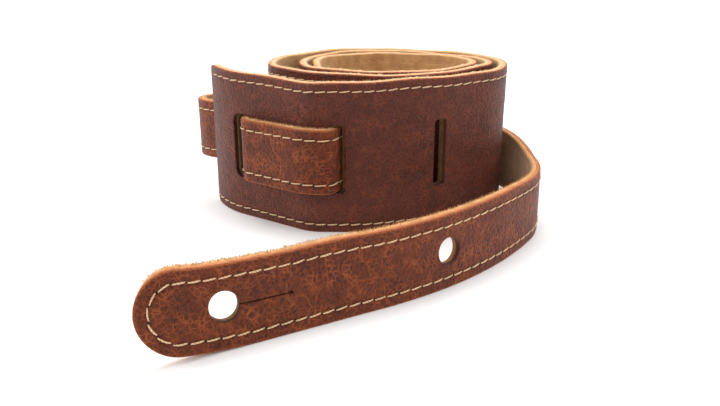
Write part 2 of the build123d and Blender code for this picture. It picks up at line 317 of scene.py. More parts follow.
TONGUE_LENGTH = 62.0
TONGUE_HALF = 19.0
PULLED_SLOT_WIDTH = 9.6  # the tail pulls the first slot open to one side
THREADED_SLOT_WIDTH = 6.6
LATER_SLANT = 1.3


def body_outline():
    half = BODY_WIDTH / 2
    shoulder = BODY_LENGTH - 30
    nose = BODY_LENGTH - TONGUE_HALF
    corner = 2.5
    return (
        arc_points((corner, corner), corner, 180, 270, 6)
        + [(BODY_LENGTH - TONGUE_LENGTH, 0), (shoulder, half - TONGUE_HALF)]
        + arc_points((nose, half), TONGUE_HALF, -90, 90, 25)
        + [(shoulder, half + TONGUE_HALF), (BODY_LENGTH - TONGUE_LENGTH, BODY_WIDTH)]
        + arc_points((corner, BODY_WIDTH - corner), corner, 90, 180, 6)
    )


def tail_outline():
    half = TAIL_WIDTH / 2
    return arc_points((half, half), half, 90, 270, 33) + arc_points(
        (TAIL_LENGTH - half, half), half, -90, 90, 41
    )


def body_slots(shift):
    """The wide band's slots. The tail passes slantwise through the first two."""
    low = (BODY_WIDTH - SLOT_HEIGHT) / 2
    slots = []
    for number in range(SLOT_COUNT):
        middle = FIRST_SLOT + number * SLOT_PITCH
        width, corner = SLOT_WIDTH, 1.2
        if number == 0:
            middle -= shift + 1.3
            width, corner = PULLED_SLOT_WIDTH, 3.5
        elif number == 1:
            middle += shift
            width = THREADED_SLOT_WIDTH
        else:
            middle += shift * LATER_SLANT
        slots.append(slot_outline(middle, width, low, low + SLOT_HEIGHT, corner))
    return slots


# %% Distances to an outline
def segments_of(loop, closed=True):
    points = np.array(loop, float)
    ends = np.roll(points, -1, axis=0) if closed else points[1:]
    starts = points if closed else points[:-1]
    keep = np.hypot(*(ends - starts).T) > 1e-9
    return starts[keep], ends[keep]


def nearest_on(points, starts, ends):
    """Distance from each point to the nearest segment, and the length run up to there."""
    lengths = np.hypot(*(ends - starts).T)
    run = np.concatenate([[0], np.cumsum(lengths)[:-1]])
    best = np.full(len(points), 1e9)
    along = np.zeros(len(points))
    for start, end, length, before in zip(starts, ends, lengths, run):
        step = (end - start) / length
        t = np.clip((points - start) @ step, 0, length)
        away = np.hypot(*(points - start - t[:, None] * step).T)
        nearer = away < best
        best[nearer] = away[nearer]
        along[nearer] = before + t[nearer]
    return best, along


def is_leather(points, loops):
    """True where a point is inside the outline and outside every hole."""
    inside_count = np.zeros(len(points), int)
    for loop in loops:
        starts, ends = segments_of(loop)
        for (x0, y0), (x1, y1) in zip(starts, ends):
            crosses = (y0 > points[:, 1]) != (y1 > points[:, 1])
            if y0 == y1:
                continue
            cut_x = x0 + (points[:, 1] - y0) * (x1 - x0) / (y1 - y0)
            inside_count += crosses & (points[:, 0] < cut_x)
    return inside_count % 2 == 1


# %% Filling a pattern with triangles
ROLLED_EDGE = 0.6
ROLLED_DROP = 0.8  # how much of a full quarter round the rolled edge is
WALL_LEVELS = (0.33, 0.66)
ON_OUTLINE = 0.01
EDGE_ROWS = (0.12, 0.32, 0.6, 1.1)


def resample(loop, spacing):
    """The closed outline's own corners and evenly spaced points between them."""
    starts, ends = segments_of(loop)
    points = []
    for start, end in zip(starts, ends):
        count = max(1, int(round(math.hypot(*(end - start)) / spacing)))
        points += [start + (end - start) * k / count for k in range(count)]
    return np.array(points)


def cut_pattern(loops, spacing):
    """Flat points, triangles, outline edges, and how far each point is from a cut."""
    rims = [resample(loop, spacing * 0.5) for loop in loops]
    points = [np.concatenate(rims)]
    edges = []
    first = 0
    for rim in rims:
        count = len(rim)
        edges += [(first + k, first + (k + 1) % count) for k in range(count)]
        first += count
    all_starts = np.concatenate([segments_of(loop)[0] for loop in loops])
    all_ends = np.concatenate([segments_of(loop)[1] for loop in loops])
    for row in EDGE_ROWS:
        for rim in rims:
            tangent = np.roll(rim, -1, axis=0) - np.roll(rim, 1, axis=0)
            normal = np.stack([-tangent[:, 1], tangent[:, 0]], axis=1)
            normal /= np.maximum(np.hypot(*normal.T), 1e-9)[:, None]
            for way in (row, -row):
                moved = rim + normal * way
                away, _ = nearest_on(moved, all_starts, all_ends)
                good = is_leather(moved, loops) & (away > row * 0.97)
                points.append(moved[good])
    rim_points = np.concatenate(points)
    low, high = rim_points.min(axis=0), rim_points.max(axis=0)
    columns = np.arange(low[0], high[0], spacing)
    rows = np.arange(low[1] + spacing / 2, high[1], spacing)
    grid = np.stack(np.meshgrid(columns, rows, indexing="ij"), axis=-1).reshape(-1, 2)
    grid[:, 1] += np.where(np.round(grid[:, 0] / spacing) % 2 == 0, 0, spacing / 4)
    away, _ = nearest_on(grid, all_starts, all_ends)
    grid = grid[is_leather(grid, loops) & (away > EDGE_ROWS[-1] + spacing * 0.45)]
    everything = np.concatenate([rim_points, grid])
    made = geometry.delaunay_2d_cdt([tuple(p) for p in everything], edges, [], 0, 1e-4)
    flat = np.array([tuple(v) for v in made[0]])
    triangles = np.array([f for f in made[2] if len(f) == 3])
    triangles = triangles[is_leather(flat[triangles].mean(axis=1), loops)]
    used = np.unique(triangles)
    new_index = np.full(len(flat), -1)
    new_index[used] = np.arange(len(used))
    flat, triangles = flat[used], new_index[triangles]
    depth, _ = nearest_on(flat, all_starts, all_ends)
    from_edge, _ = nearest_on(flat, *segments_of(loops[0]))
    return flat, triangles, depth, from_edge


# %% [markdown]
# ## Leather layers
# One layer is the cut pattern twice, once for each of its surfaces, and walls between them
# along every cut. The outer surface rolls over at the cuts. Each wall is three faces high, so
# the cut edge can be rough and bulge a little, as fibres do.
#
# Three sets of texture coordinates go with it, all in millimetres. One is the flat pattern,
# so the grain bends with the strap. One is measured along and away from the stitch row, so
# that needle holes and the pressed groove follow the thread everywhere. The last is the
# distance from the edge, which is where hands rub the dye away.

# %% Making one layer of a band
def rim_edges(triangles):
    """The edges that only one triangle has, in that triangle's direction."""
    edges = np.concatenate([triangles[:, [0, 1]], triangles[:, [1, 2]], triangles[:, [2, 0]]])
    size = triangles.max() + 1
    keys = np.minimum(edges[:, 0], edges[:, 1]) * size + np.maximum(edges[:, 0], edges[:, 1])
    _, first, counts = np.unique(keys, return_index=True, return_counts=True)
    return edges[first[counts == 1]]


ROUND_END = TAIL_WIDTH / 2
TUFT_SPREAD = 0.35
TUFT_ROOT = 0.25
AWAY_FROM_SEAM = 9.0


def add_tufts(layer, place, flat, rim_points, surface, seam, per_point):
    """Short fibres that stand out of the cut edge, each a thin triangle."""
    chance = np.random.default_rng(23)
    middle = flat[:, 1].mean()
    scatter = chance.normal(0, TUFT_SPREAD, (len(rim_points) * per_point, 2)) * [1, 0]
    base = np.repeat(flat[rim_points], per_point, axis=0) + scatter
    ends = np.clip((flat[rim_points, 0] - (flat[:, 0].max() - ROUND_END)) / ROUND_END, 0, 1)
    out_along = np.repeat(ends, per_point)
    out_across = np.sign(base[:, 1] - middle) * np.sqrt(np.clip(1 - out_along**2, 0, 1))
    length = chance.uniform(0.2, 0.95, len(base)) ** 1.4 * (1 + 0.35 * out_along)
    level = seam + (surface - seam) * chance.uniform(0.15, 1.08, len(base))
    lean = chance.normal(0, 0.3, len(base))
    tips = base + np.stack([out_along + lean, out_across], axis=1) * length[:, None]
    tip_level = level + (surface - seam) / LAYER * chance.uniform(-0.2, 0.5, len(base)) * length
    half = chance.uniform(0.07, 0.17, len(base))
    root = base - np.stack([out_along, out_across], axis=1) * TUFT_ROOT
    sideways = np.stack([half, half * 0], axis=1)
    corners = [root - sideways, root + sideways, tips]
    heights = [level, level, tip_level]
    points, faces, marks, grain, seam_uv, wear, depth = layer
    first = len(points)
    placed = [place(c[:, 0], c[:, 1], h) for c, h in zip(corners, heights)]
    count = len(base)
    layer[0] = np.concatenate([points, *placed])
    faces += [(first + k, first + count + k, first + 2 * count + k) for k in range(count)]
    marks += [1] * count
    layer[3] = np.concatenate([grain, *corners])
    layer[4] = np.concatenate([seam_uv, np.full((3 * count, 2), AWAY_FROM_SEAM)])
    layer[5] = np.concatenate([wear, np.zeros((3 * count, 2))])
    layer[6] = np.concatenate([depth, np.full(3 * count, LAYER * 0.7)])


def leather_layer(place, pattern, surface, seam, outward, row, raggedness, tufts):
    """Points, faces, texture coordinates and cut-edge marks of one layer."""
    flat, triangles, depth, from_edge = pattern
    along, across = flat[:, 0], flat[:, 1]
    inward = np.clip(ROLLED_EDGE - depth, 0, ROLLED_EDGE)
    drop = ROLLED_EDGE - np.sqrt(ROLLED_EDGE**2 - inward**2)
    skin = place(along, across, surface - outward * drop * ROLLED_DROP)
    under = place(along, across, np.full(len(flat), float(seam)))
    rim = rim_edges(triangles)
    rim_points = np.unique(rim)
    slot_of = {int(p): k for k, p in enumerate(rim_points)}
    middles = []
    ragged = np.random.default_rng(11)
    edge_depth = surface - outward * drop[rim_points] * ROLLED_DROP
    for share in WALL_LEVELS:
        level = edge_depth + (seam - edge_depth) * share
        push = ragged.normal(0, raggedness, len(rim_points))
        rise = np.where(across[rim_points] > np.mean(across), push, -push)
        middles.append(place(along[rim_points], across[rim_points] + rise, level))
    count = len(flat)
    points = np.concatenate([skin, under, *middles])
    flipped = outward * np.sign(
        np.cross(flat[triangles[:, 1]] - flat[triangles[:, 0]],
                 flat[triangles[:, 2]] - flat[triangles[:, 0]])[0]
    )
    faces = [tuple(t) for t in triangles]
    faces += [tuple(t + count) for t in triangles[:, ::-1]]
    # The glued side and the walls of slots and holes take the third material, whose dark colour is painted
    # shade.
    marks = [0] * len(triangles) + [2] * len(triangles)
    levels = [lambda p: p]
    ring_start = 2 * count
    for k in range(len(WALL_LEVELS)):
        levels.append(lambda p, k=k: ring_start + k * len(rim_points) + slot_of[p])
    levels.append(lambda p: p + count)
    for a, b in rim.tolist():
        mark = 1 if max(from_edge[a], from_edge[b]) < ON_OUTLINE else 2
        for upper, lower in zip(levels, levels[1:]):
            faces.append((upper(b), upper(a), lower(a), lower(b)))
            marks.append(mark)
    if flipped > 0:
        faces = [f[::-1] for f in faces]
    away, row_along = nearest_on(flat, *segments_of(row, closed=False))
    spread = np.concatenate([np.arange(count), np.arange(count)] + [rim_points] * len(WALL_LEVELS))
    grain = flat[spread].copy()
    ring_depth = np.concatenate([np.zeros(count), np.full(count, LAYER)]
                                + [np.full(len(rim_points), LAYER * share) for share in WALL_LEVELS])
    seam_coordinates = np.stack([row_along[spread], away[spread]], axis=1)
    wear = np.stack([from_edge[spread], depth[spread]], axis=1)
    layer = [points, faces, marks, grain, seam_coordinates, wear, ring_depth]
    if tufts:
        outline_points = rim_points[from_edge[rim_points] < ON_OUTLINE]
        add_tufts(layer, place, flat, outline_points, surface, seam, tufts)
    layer[2] = np.array(layer[2])
    return layer


# %% Making a mesh piece
def face_alongs(faces, grain):
    return np.array([grain[list(f), 0].mean() for f in faces])


def mesh_piece(name, points, faces, marks, grain, seam, wear, depth, materials, keep=None):
    """A mesh object. Cut edges take (along, depth) as their first texture coordinates."""
    chosen = range(len(faces)) if keep is None else np.nonzero(keep)[0]
    faces = [faces[k] for k in chosen]
    marks = [int(marks[k]) for k in chosen]
    used = sorted({v for f in faces for v in f})
    renumber = {v: k for k, v in enumerate(used)}
    mesh = bpy.data.meshes.new(name)
    mesh.from_pydata(points[used].tolist(), [], [[renumber[v] for v in f] for f in faces])
    for material in materials:
        mesh.materials.append(material)
    mesh.polygons.foreach_set("material_index", marks)
    mesh.polygons.foreach_set("use_smooth", [True] * len(faces))
    corner_vertex = np.array([v for f in faces for v in f])
    corner_mark = np.array([m for f, m in zip(faces, marks) for _ in f])
    pattern_uv = grain[corner_vertex].copy()
    along_and_across = grain[corner_vertex].sum(axis=1)
    edge_uv = np.stack([along_and_across, depth[corner_vertex]], axis=1)
    pattern_uv[corner_mark > 0] = edge_uv[corner_mark > 0]
    layers = {"Pattern": pattern_uv, "Seam": seam[corner_vertex], "Wear": wear[corner_vertex]}
    for layer_name, values in layers.items():
        uv_layer = mesh.uv_layers.new(name=layer_name)
        uv_layer.data.foreach_set("uv", values.astype(np.float32).ravel())
    mesh.update()
    piece = bpy.data.objects.new(name, mesh)
    bpy.context.scene.collection.objects.link(piece)
    return piece


# %% [markdown]
# ## Node helpers
# A material here is a chain of small nodes. These helpers make one node each and wire it,
# so that the materials below read like a recipe.

# %% Small node helpers
class Recipe:
    """A material's node tree, with a Principled shader already wired to the output."""

    def __init__(self, name, rough):
        self.material = bpy.data.materials.new(name)
        self.material.use_nodes = True
        self.tree = self.material.node_tree
        self.shader = self.tree.nodes["Principled BSDF"]
        self.shader.inputs["Roughness"].default_value = rough

    def node(self, kind, inputs=None, **settings):
        made = self.tree.nodes.new(kind)
        for key, value in settings.items():
            setattr(made, key, value)
        for key, value in (inputs or {}).items():
            self.feed(made.inputs[key], value)
        return made

    def feed(self, socket, value):
        if isinstance(value, bpy.types.NodeSocket):
            self.tree.links.new(value, socket)
        else:
            socket.default_value = value

    def coordinates(self, layer, stretch=(1, 1)):
        uv = self.node("ShaderNodeUVMap", uv_map=layer).outputs["UV"]
        scale = (stretch[0], stretch[1], 1)
        return self.node(
            "ShaderNodeVectorMath", {0: uv, 1: scale}, operation="MULTIPLY"
        ).outputs["Vector"]

    def noise(self, vector, scale, detail=3.0, rough=0.55):
        made = self.node(
            "ShaderNodeTexNoise",
            {"Vector": vector, "Scale": scale, "Detail": detail, "Roughness": rough},
        )
        return made.outputs["Fac"]

    def warped(self, vector, scale, amount):
        colour = self.node(
            "ShaderNodeTexNoise", {"Vector": vector, "Scale": scale, "Detail": 2.0}
        ).outputs["Color"]
        centred = self.node(
            "ShaderNodeVectorMath", {0: colour, 1: (0.5, 0.5, 0.5)}, operation="SUBTRACT"
        ).outputs["Vector"]
        scaled = self.node(
            "ShaderNodeVectorMath", {0: centred, "Scale": amount}, operation="SCALE"
        ).outputs["Vector"]
        return self.node(
            "ShaderNodeVectorMath", {0: vector, 1: scaled}, operation="ADD"
        ).outputs["Vector"]

    def cells(self, vector, scale, feature):
        made = self.node(
            "ShaderNodeTexVoronoi", {"Vector": vector, "Scale": scale}, feature=feature
        )
        return made.outputs["Distance"]

    def math(self, operation, a, b=0.0):
        return self.node("ShaderNodeMath", {0: a, 1: b}, operation=operation).outputs[0]

    def ramp(self, value, low, high, out_low=0.0, out_high=1.0):
        made = self.node(
            "ShaderNodeMapRange",
            {"Value": value, "From Min": low, "From Max": high, "To Min": out_low, "To Max": out_high},
            interpolation_type="SMOOTHSTEP",
        )
        return made.outputs["Result"]

    def mix(self, share, a, b):
        made = self.node("ShaderNodeMix", data_type="RGBA")
        self.feed(made.inputs["Factor"], share)
        self.feed(made.inputs["A"], a)
        self.feed(made.inputs["B"], b)
        return made.outputs["Result"]

    def bump(self, height, distance, strength=1.0, normal=None):
        inputs = {"Height": height, "Distance": distance * MM, "Strength": strength}
        if normal is not None:
            inputs["Normal"] = normal
        return self.node("ShaderNodeBump", inputs).outputs["Normal"]


def paint(red, green, blue):
    """A colour picked on the screen, from 0 to 255, as the linear values that nodes take."""
    linear = [((c / 255 + 0.055) / 1.055) ** 2.4 if c > 10 else c / 3295 for c in (red, green, blue)]
    return (*linear, 1.0)


# %% [markdown]
# ## Grain leather
# The face is oil-tanned leather with a pebbled grain: small dark plump cells, with lighter
# orange-brown creases round them where the dye has been rubbed thin. Voronoi cells give the
# pebbles, warped by noise so that no two are alike. A finer set breaks them up, and a much
# larger set makes the few long wrinkles. The stitch row presses a groove into the leather,
# drawn a little darker, and each needle hole is painted near-black: painted shade inside the hole.

# %% The grain leather material
HOLE_SHARE = 0.88  # where in each stitch's pitch its needle hole is


def needle_holes(recipe):
    """Marks from the stitch row's coordinates: (1 in a needle hole, 1 in the groove)."""
    seam = recipe.node("ShaderNodeUVMap", uv_map="Seam").outputs["UV"]
    split = recipe.node("ShaderNodeSeparateXYZ", {0: seam})
    along, away = split.outputs["X"], split.outputs["Y"]
    share = recipe.math("FRACT", recipe.math("DIVIDE", along, STITCH_PITCH))
    from_hole = recipe.math("ABSOLUTE", recipe.math("SUBTRACT", share, HOLE_SHARE))
    from_hole = recipe.math("MULTIPLY", from_hole, STITCH_PITCH)
    distance = recipe.math(
        "SQRT",
        recipe.math(
            "ADD",
            recipe.math("MULTIPLY", from_hole, from_hole),
            recipe.math("MULTIPLY", away, away),
        ),
    )
    hole = recipe.ramp(distance, 0.3, 0.62, 1.0, 0.0)
    groove = recipe.ramp(away, 0.3, 1.3, 1.0, 0.0)
    return hole, groove


def grain_leather(name, dark, mid, crease, rub, cell_scale, shine):
    recipe = Recipe(name, 0.5)
    flat = recipe.coordinates("Pattern")
    pebble = recipe.cells(recipe.warped(flat, 0.45, 1.7), cell_scale, "DISTANCE_TO_EDGE")
    small = recipe.cells(recipe.warped(flat, 1.2, 0.6), cell_scale * 2.1, "DISTANCE_TO_EDGE")
    wrinkle = recipe.cells(recipe.warped(flat, 0.14, 3.2), cell_scale * 0.3, "DISTANCE_TO_EDGE")
    large_mottle = recipe.noise(flat, 0.07, 3.0)
    fine_mottle = recipe.noise(flat, 0.8, 4.0)
    worn = recipe.ramp(recipe.noise(flat, 0.16, 3.0), 0.38, 0.66, 0.12, 1.0)
    crease_mark = recipe.ramp(pebble, 0.0, 0.15, 0.9, 0.0)
    small_crease = recipe.ramp(small, 0.0, 0.1, 0.3, 0.0)
    creases = recipe.math("MULTIPLY", recipe.math("MAXIMUM", crease_mark, small_crease), worn)
    long_crease = recipe.ramp(wrinkle, 0.0, 0.035, 0.6, 0.0)
    long_crease = recipe.math(
        "MULTIPLY", long_crease, recipe.ramp(recipe.noise(flat, 0.1, 2.0), 0.42, 0.6, 0.0, 1.0)
    )
    base = recipe.mix(recipe.ramp(fine_mottle, 0.3, 0.7), dark, mid)
    base = recipe.mix(recipe.ramp(large_mottle, 0.38, 0.68, 0.0, 0.6), base, mid)
    colour = recipe.mix(creases, base, crease)
    colour = recipe.mix(long_crease, colour, crease)
    hole, groove = needle_holes(recipe)
    # The groove is drawn a little towards the dark tone; the needle hole's near-black is painted shade inside
    # the hole.
    colour = recipe.mix(recipe.math("MULTIPLY", groove, 0.25), colour, dark)
    colour = recipe.mix(hole, colour, paint(24, 10, 6))
    wear = recipe.node("ShaderNodeUVMap", uv_map="Wear").outputs["UV"]
    from_edge = recipe.node("ShaderNodeSeparateXYZ", {0: wear}).outputs["X"]
    rubbed = recipe.math("ADD", from_edge, recipe.ramp(fine_mottle, 0.3, 0.7, -0.3, 0.3))
    colour = recipe.mix(recipe.ramp(rubbed, 0.2, 0.8, 0.75, 0.0), colour, rub)
    recipe.feed(recipe.shader.inputs["Base Color"], colour)
    recipe.feed(recipe.shader.inputs["Roughness"], recipe.ramp(fine_mottle, 0.25, 0.75, 0.42, 0.62))
    recipe.shader.inputs["Specular IOR Level"].default_value = shine
    recipe.shader.inputs["Sheen Weight"].default_value = 0.06
    recipe.shader.inputs["Sheen Roughness"].default_value = 0.4
    height = recipe.math("ADD", recipe.ramp(pebble, 0.0, 0.3), recipe.ramp(small, 0.0, 0.3, 0.0, 0.35))
    height = recipe.math("ADD", height, recipe.ramp(wrinkle, 0.0, 0.07, 0.0, 0.9))
    height = recipe.math("ADD", height, recipe.math("MULTIPLY", fine_mottle, 0.35))
    height = recipe.math("SUBTRACT", height, recipe.math("MULTIPLY", groove, 1.6))
    height = recipe.math("SUBTRACT", height, recipe.math("MULTIPLY", hole, 2.0))
    normal = recipe.bump(height, 0.25, 0.95)
    recipe.feed(recipe.shader.inputs["Normal"], normal)
    return recipe.material


GRAIN_BODY = grain_leather(
    "grain_body", paint(60, 20, 9), paint(92, 36, 17), paint(122, 54, 26), paint(150, 78, 38), 0.6, 0.34
)
GRAIN_TAIL = grain_leather(
    "grain_tail", paint(58, 20, 8), paint(106, 45, 18), paint(152, 74, 33), paint(164, 88, 42), 0.5, 0.24
)

# %% [markdown]
# ## Suede and raw edges
# The backing is suede: matt, soft and mottled, with a short nap. Where the knife has cut,
# raw fibres show. The face layer's edge is browner, because its dye has soaked in, and the
# backing's edge is pale. Walls of slots and holes, and the glued side, are painted dark as shade.

# %% The suede and cut edge materials
def suede(name, dark, light):
    recipe = Recipe(name, 0.95)
    flat = recipe.coordinates("Pattern")
    nap = recipe.noise(flat, 2.6, 6.0, 0.7)
    patches = recipe.noise(flat, 0.16, 4.0)
    share = recipe.math("ADD", recipe.ramp(nap, 0.3, 0.7, 0.0, 0.5), recipe.ramp(patches, 0.3, 0.7, 0.0, 0.5))
    colour = recipe.mix(share, dark, light)
    hole, groove = needle_holes(recipe)
    # The needle holes are painted darker: painted shade inside the holes.
    colour = recipe.mix(recipe.math("MULTIPLY", hole, 0.8), colour, paint(70, 42, 24))
    recipe.feed(recipe.shader.inputs["Base Color"], colour)
    recipe.shader.inputs["Specular IOR Level"].default_value = 0.15
    recipe.shader.inputs["Sheen Weight"].default_value = 0.25
    recipe.shader.inputs["Sheen Roughness"].default_value = 0.6
    height = recipe.math("SUBTRACT", nap, recipe.math("MULTIPLY", groove, 0.9))
    recipe.feed(recipe.shader.inputs["Normal"], recipe.bump(height, 0.3, 0.8))
    return recipe.material


def raw_edge(name, dark, light, border):
    """A cut edge. Its coordinates are (along, depth below the layer's surface)."""
    recipe = Recipe(name, 0.9)
    fibres = recipe.coordinates("Pattern", (1.0, 0.6))
    streaks = recipe.noise(fibres, 1.5, 6.0, 0.75)
    patches = recipe.noise(fibres, 0.25, 3.0)
    fine_share = recipe.ramp(streaks, 0.3, 0.7, 0.0, 0.6)
    patch_share = recipe.ramp(patches, 0.3, 0.7, 0.0, 0.4)
    share = recipe.math("ADD", fine_share, patch_share)
    colour = recipe.mix(share, dark, light)
    split = recipe.node("ShaderNodeSeparateXYZ", {0: recipe.coordinates("Pattern")})
    near_grain = recipe.ramp(split.outputs["Y"], 0.0, 0.9, 0.75, 0.0)
    colour = recipe.mix(near_grain, colour, border)
    recipe.feed(recipe.shader.inputs["Base Color"], colour)
    recipe.shader.inputs["Specular IOR Level"].default_value = 0.15
    recipe.shader.inputs["Sheen Weight"].default_value = 0.15
    recipe.feed(recipe.shader.inputs["Normal"], recipe.bump(streaks, 0.5, 0.9))
    return recipe.material


SUEDE_BODY = suede("suede_body", paint(178, 130, 80), paint(224, 178, 122))
SUEDE_TAIL = suede("suede_tail", paint(146, 102, 58), paint(194, 146, 94))
BODY_FACE_EDGE = raw_edge("body_face_edge", paint(208, 142, 94), paint(240, 186, 138), paint(188, 108, 58))
BODY_BACKING_EDGE = raw_edge(
    "body_backing_edge", paint(220, 172, 122), paint(248, 214, 172), paint(224, 172, 120)
)
TAIL_FACE_EDGE = raw_edge("tail_face_edge", paint(168, 90, 44), paint(222, 150, 92), paint(158, 80, 36))
TAIL_BACKING_EDGE = raw_edge(
    "tail_backing_edge", paint(206, 150, 90), paint(238, 192, 138), paint(208, 150, 94)
)
# These dark colours for slot and hole walls and the glued side are painted shade, not the leather's own edge
# colour.
FACE_HOLE_SHADE = raw_edge("face_hole_painted_shade", paint(48, 22, 10), paint(78, 38, 20), paint(44, 18, 8))
BODY_BACKING_HOLE_SHADE = raw_edge("body_backing_hole", paint(86, 58, 28), paint(122, 86, 46), paint(78, 50, 24))
TAIL_BACKING_HOLE_SHADE = raw_edge("tail_backing_hole", paint(112, 72, 40), paint(160, 110, 66), paint(104, 66, 36))

# %% [markdown]
# ## Thread
# The stitches are waxed thread, cream and slightly glossy. The thread is twisted from
# strands, which slanted stripes in its bump show, with painted shade darkening the grooves between strands.

# %% The thread material
def waxed_thread(name, shade, light):
    recipe = Recipe(name, 0.55)
    along = recipe.coordinates("Pattern")
    twist = recipe.node(
        "ShaderNodeTexWave",
        {"Vector": along, "Scale": 0.55, "Distortion": 0.6},
        wave_type="BANDS",
        bands_direction="DIAGONAL",
    ).outputs["Fac"]
    # The darker stripes lie in the grooves between strands: painted shade. The noise patches below are random
    # darker tone.
    colour = recipe.mix(recipe.ramp(twist, 0.1, 0.7), shade, light)
    colour = recipe.mix(recipe.ramp(recipe.noise(along, 0.15), 0.4, 0.75, 0.0, 0.4), colour, shade)
    recipe.feed(recipe.shader.inputs["Base Color"], colour)
    recipe.shader.inputs["Specular IOR Level"].default_value = 0.35
    recipe.feed(recipe.shader.inputs["Normal"], recipe.bump(twist, 0.08, 0.6))
    return recipe.material


THREAD = waxed_thread("waxed_thread", paint(196, 156, 118), paint(230, 196, 156))

# %% [markdown]
# ## Cutting and bending the wide band
# The same outline is cut twice, for the face and the backing, and the first two slots shift
# a little between the layers, because the tail goes through them at a slant.

# %% The wide band's two layers
BODY_SPACING = 2.0
SLANT_SHIFT = 0.5
FACE_ROUGHNESS = 0.08  # how far the dyed face's cut edge wanders


def body_row():
    """The stitch row as one open path: along the lower edge and back along the upper."""
    end = BODY_LENGTH - TONGUE_LENGTH
    low, high = BODY_STITCH_INSET, BODY_WIDTH - BODY_STITCH_INSET
    return [(0, low), (end, low), (end + 0.5, BODY_WIDTH / 2), (end, high), (0, high)]


def band_layer(prefix, place, pattern, surface, seam, outward, row, materials, raggedness, tufts=0):
    layer = leather_layer(place, pattern, surface, seam, outward, row, raggedness, tufts)
    print(prefix, "triangles:", len(layer[1]))
    return (*layer, materials)


tongue_hole = BODY_LENGTH - TONGUE_HALF
body_button_hole = button_hole(
    (tongue_hole, BODY_WIDTH / 2), tongue_hole - HOLE_RADIUS - SLIT_LENGTH
)
body_face_pattern = cut_pattern(
    [body_outline(), *body_slots(SLANT_SHIFT), body_button_hole], BODY_SPACING
)
body_backing_pattern = cut_pattern(
    [body_outline(), *body_slots(-SLANT_SHIFT), body_button_hole], BODY_SPACING
)
BODY_FACE_FINISH = [GRAIN_BODY, BODY_FACE_EDGE, FACE_HOLE_SHADE]
BODY_BACKING_FINISH = [SUEDE_BODY, BODY_BACKING_EDGE, BODY_BACKING_HOLE_SHADE]
body_face_layer = band_layer(
    "body face", place_body, body_face_pattern, 0.0, LAYER, -1, body_row(),
    BODY_FACE_FINISH, FACE_ROUGHNESS,
)
body_backing_layer = band_layer(
    "body backing", place_body, body_backing_pattern, BAND, LAYER, 1, body_row(),
    BODY_BACKING_FINISH, 0.2, 3,
)
for part_name, layer in (("face", body_face_layer), ("backing", body_backing_layer)):
    piece = mesh_piece("body_" + part_name, *layer)
    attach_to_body(piece, "coil")
    thirds = ["body_%s_%s" % (part_name, third) for third in ("outer", "middle", "inner")]
    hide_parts(*thirds)
print("body pieces made")

# %% [markdown]
# ## Cutting and bending the tail
# The tail bends when it is used, so it is cut into nine pieces that share the same edge
# points: a woven one that rides on the coil, and one for each flex line, each of which is
# left fixed where it is placed.

# %% The tail's two layers, split between the flex lines
TAIL_SPACING = 1.5
CUTS = [FLEX_LINES[0] - 18]
CUTS += [(a + b) / 2 for a, b in zip(FLEX_LINES, FLEX_LINES[1:])]
CUTS += [TAIL_LENGTH + 1]


def tail_row():
    """The stitch row as one closed path round the tail, starting at the hidden end."""
    half = TAIL_WIDTH / 2
    reach = half - TAIL_STITCH_INSET
    path = arc_points((half, half), reach, 90, 270, 33)
    path += arc_points((TAIL_LENGTH - half, half), reach, -90, 90, 33)
    return path + [path[0]]


def share_out(name, layer, nodes_of):
    """Splits a layer of the tail into the woven piece and one piece per flex line."""
    points, faces, marks, grain, seam, wear, depth, materials = layer
    middle = face_alongs(faces, grain)
    bounds = [-1.0, *CUTS]
    pieces = []
    for number, (low, high) in enumerate(zip(bounds, bounds[1:])):
        keep = (middle >= low) & (middle < high)
        piece_name = "%s_%s" % (name, number or "woven")
        pieces.append(mesh_piece(
            piece_name, points, faces, marks, grain, seam, wear, depth, materials, keep
        ))
        attach(pieces[-1], number, nodes_of)
    return pieces


def attach(piece, number, kind):
    """Rides the woven piece on the coil, and leaves the others fixed where they lie."""
    node = "tail_%s_%s" % (kind, number or "woven")
    if number == 0:
        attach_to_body(piece, "coil")
    else:
        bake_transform(piece)
    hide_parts(node)


half_tail = TAIL_WIDTH / 2
tip_hole = TAIL_LENGTH - TIP_TO_BUTTON_HOLE
tail_loops = [
    tail_outline(),
    button_hole((tip_hole, half_tail), tip_hole - HOLE_RADIUS - SLIT_LENGTH),
    button_hole((TAIL_LENGTH - TIP_TO_SECOND_HOLE, half_tail), None),
]
tail_pattern = cut_pattern(tail_loops, TAIL_SPACING)
TAIL_FACE_FINISH = [GRAIN_TAIL, TAIL_FACE_EDGE, FACE_HOLE_SHADE]
TAIL_BACKING_FINISH = [SUEDE_TAIL, TAIL_BACKING_EDGE, TAIL_BACKING_HOLE_SHADE]
tail_face_layer = band_layer(
    "tail face", place_tail, tail_pattern, LAYER, 0.0, 1, tail_row(),
    TAIL_FACE_FINISH, FACE_ROUGHNESS,
)
tail_backing_layer = band_layer(
    "tail backing", place_tail, tail_pattern, -LAYER, 0.0, -1, tail_row(),
    TAIL_BACKING_FINISH, 0.26, 9,
)
share_out("tail_face", tail_face_layer, "face")
share_out("tail_backing", tail_backing_layer, "backing")
print("tail pieces made, cut at, mm:", [round(c) for c in CUTS])

# %% [markdown]
# ## Stitches
# Each stitch is its own short run of thread. It rises out of one needle hole, lies on the
# leather, slants a little, and dives into the next hole. It is modelled as a thin rod with
# pinched ends, laid on the flat pattern and then bent with the band like everything else.

# %% Laying the stitches
STITCH_SHARE = 0.84
THREAD_RADIUS = 0.3
SLANT = 0.20
SUNK_IN_NAP = 0.36
STATIONS = 7
SIDES = 8


def on_row(row, distances):
    """Points and directions at distances along an open path."""
    starts, ends = segments_of(row, closed=False)
    lengths = np.hypot(*(ends - starts).T)
    run = np.concatenate([[0], np.cumsum(lengths)])
    index = np.clip(np.searchsorted(run, distances, side="right") - 1, 0, len(lengths) - 1)
    step = (ends[index] - starts[index]) / lengths[index][:, None]
    return starts[index] + step * (distances - run[index])[:, None], step


